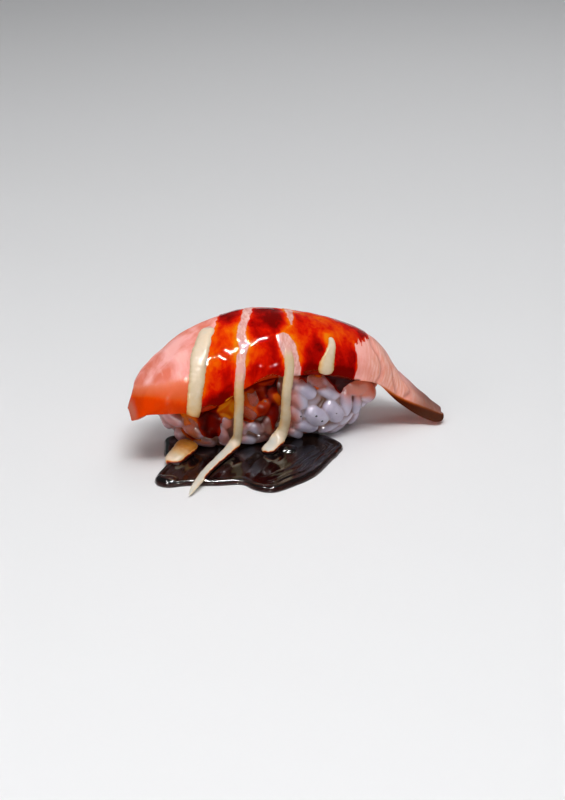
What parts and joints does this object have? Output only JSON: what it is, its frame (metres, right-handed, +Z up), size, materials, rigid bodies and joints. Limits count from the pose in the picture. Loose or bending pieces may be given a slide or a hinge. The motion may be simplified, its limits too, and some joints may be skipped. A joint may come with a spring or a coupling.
{
  "type": "salmon nigiri",
  "caption": "Hand-pressed rice block under a draped slice of raw salmon, with piped mayonnaise lines and a sauce puddle at its foot.",
  "frame": {"origin": "centre of the rice block's flat foot, on the surface the food stands on", "axes": "+Z up; +X along the food towards the salmon slice's thin tail; -Y towards the side the sauce puddle lies on"},
  "size_m": [0.0772, 0.0454, 0.0307],
  "materials": {
    "rice": "moist translucent white cooked rice",
    "salmon": "wet raw salmon, pink-orange with pale fat lines",
    "sauce": "glossy near-black brown sweet soy sauce",
    "mayonnaise": "smooth satin cream",
    "glaze": "wet translucent red-orange brushed glaze",
    "pepper": "dry dark brown specks"
  },
  "bodies": {
    "root": {"rice": "rice", "salmon": "salmon", "sauce_pool": "sauce"}
  },
  "joints": []
}
